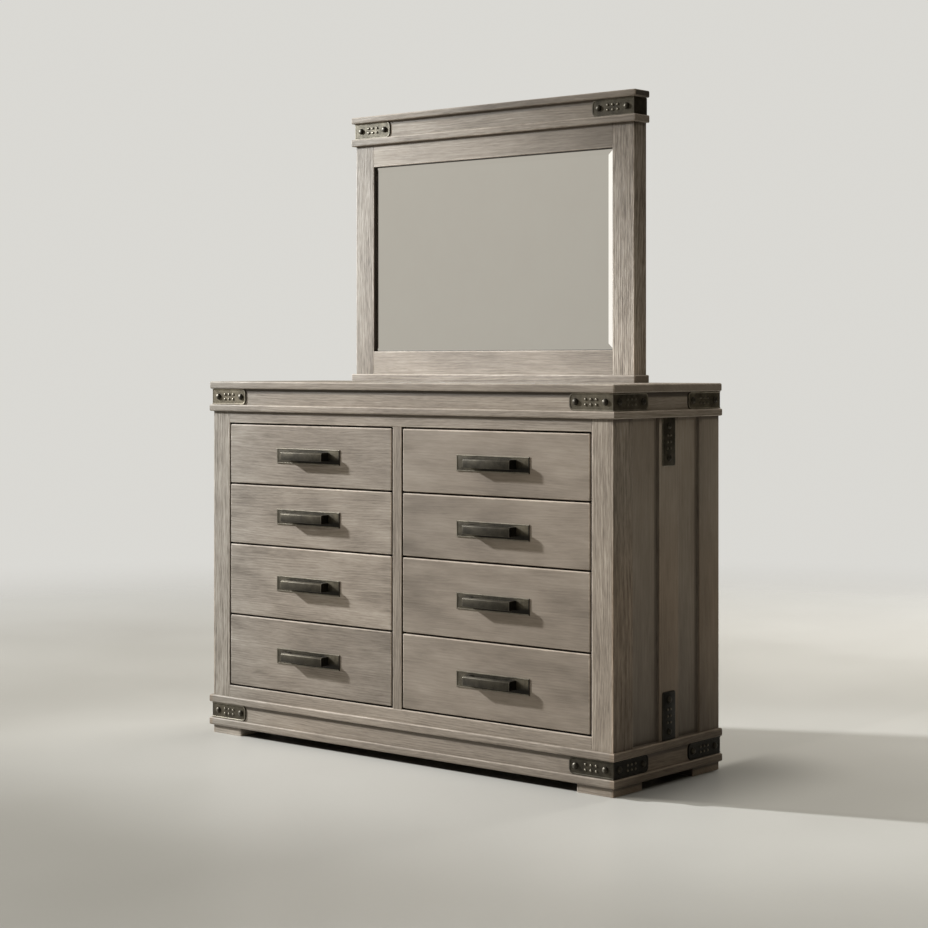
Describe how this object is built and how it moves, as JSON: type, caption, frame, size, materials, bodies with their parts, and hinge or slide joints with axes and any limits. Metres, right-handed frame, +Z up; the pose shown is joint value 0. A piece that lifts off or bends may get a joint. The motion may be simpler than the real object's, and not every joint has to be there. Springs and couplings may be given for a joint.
{
  "type": "dresser with mirror",
  "caption": "Free-standing wooden dresser with two columns of sliding drawers, metal corner bands and bar pulls, carrying a framed upright mirror on its top.",
  "frame": {"origin": "centre of the bounding box footprint, on the floor", "axes": "+Z up, +X to the right as seen from the front, the drawers open towards -Y"},
  "size_m": [1.518, 0.531, 1.89],
  "materials": {
    "case_wood": "wire-brushed grey-brown stain, matt",
    "front_wood": "wire-brushed grey-brown stain, matt, horizontal grain",
    "box_wood": "plain sanded, clear sealed",
    "back_wood": "thin stained board, matt",
    "metal": "dark pewter, satin",
    "mirror": "bevelled silvered glass"
  },
  "bodies": {
    "carcass": {"base_moulding_lower_with_feet": "case_wood", "base_frieze": "case_wood", "base_moulding_upper": "case_wood", "side_right": "case_wood", "side_left": "case_wood", "centre_divider": "case_wood", "rail_top": "case_wood", "rail_bottom": "case_wood", "back_panel": "back_wood", "top_moulding": "case_wood", "top_frieze": "case_wood", "top_slab": "case_wood", "bracket_top_front_left": "metal", "bracket_top_rear_left": "metal", "bracket_top_front_right": "metal", "bracket_top_rear_right": "metal", "bracket_base_front_left": "metal", "bracket_base_rear_left": "metal", "bracket_base_front_right": "metal", "bracket_base_rear_right": "metal", "strap_top_left": "metal", "strap_base_left": "metal", "strap_top_right": "metal", "strap_base_right": "metal", "mirror_foot_moulding": "case_wood", "mirror_stile_left": "case_wood", "mirror_stile_right": "case_wood", "mirror_rail_bottom": "case_wood", "mirror_rail_top": "case_wood", "mirror_glass": "mirror", "mirror_backboard": "back_wood", "mirror_crown_moulding": "case_wood", "mirror_crown_frieze": "case_wood", "mirror_crown_slab": "case_wood", "mirror_bracket_left": "metal", "mirror_bracket_right": "metal"},
    "drawer_r4_left": {"drawer_front_r4_left": "front_wood", "drawer_box_r4_left": "box_wood", "drawer_pull_r4_left": "metal"},
    "drawer_r4_right": {"drawer_front_r4_right": "front_wood", "drawer_box_r4_right": "box_wood", "drawer_pull_r4_right": "metal"},
    "drawer_r3_left": {"drawer_front_r3_left": "front_wood", "drawer_box_r3_left": "box_wood", "drawer_pull_r3_left": "metal"},
    "drawer_r3_right": {"drawer_front_r3_right": "front_wood", "drawer_box_r3_right": "box_wood", "drawer_pull_r3_right": "metal"},
    "drawer_r2_left": {"drawer_front_r2_left": "front_wood", "drawer_box_r2_left": "box_wood", "drawer_pull_r2_left": "metal"},
    "drawer_r2_right": {"drawer_front_r2_right": "front_wood", "drawer_box_r2_right": "box_wood", "drawer_pull_r2_right": "metal"},
    "drawer_r1_left": {"drawer_front_r1_left": "front_wood", "drawer_box_r1_left": "box_wood", "drawer_pull_r1_left": "metal"},
    "drawer_r1_right": {"drawer_front_r1_right": "front_wood", "drawer_box_r1_right": "box_wood", "drawer_pull_r1_right": "metal"}
  },
  "joints": [
    {"name": "drawer_r4_left_slide", "type": "slide", "parent": "carcass", "child": "drawer_r4_left", "axis": [0, -1, 0], "range_m": [0, 0.34]},
    {"name": "drawer_r4_right_slide", "type": "slide", "parent": "carcass", "child": "drawer_r4_right", "axis": [0, -1, 0], "range_m": [0, 0.34]},
    {"name": "drawer_r3_left_slide", "type": "slide", "parent": "carcass", "child": "drawer_r3_left", "axis": [0, -1, 0], "range_m": [0, 0.34]},
    {"name": "drawer_r3_right_slide", "type": "slide", "parent": "carcass", "child": "drawer_r3_right", "axis": [0, -1, 0], "range_m": [0, 0.34]},
    {"name": "drawer_r2_left_slide", "type": "slide", "parent": "carcass", "child": "drawer_r2_left", "axis": [0, -1, 0], "range_m": [0, 0.34]},
    {"name": "drawer_r2_right_slide", "type": "slide", "parent": "carcass", "child": "drawer_r2_right", "axis": [0, -1, 0], "range_m": [0, 0.34]},
    {"name": "drawer_r1_left_slide", "type": "slide", "parent": "carcass", "child": "drawer_r1_left", "axis": [0, -1, 0], "range_m": [0, 0.34]},
    {"name": "drawer_r1_right_slide", "type": "slide", "parent": "carcass", "child": "drawer_r1_right", "axis": [0, -1, 0], "range_m": [0, 0.34]}
  ]
}
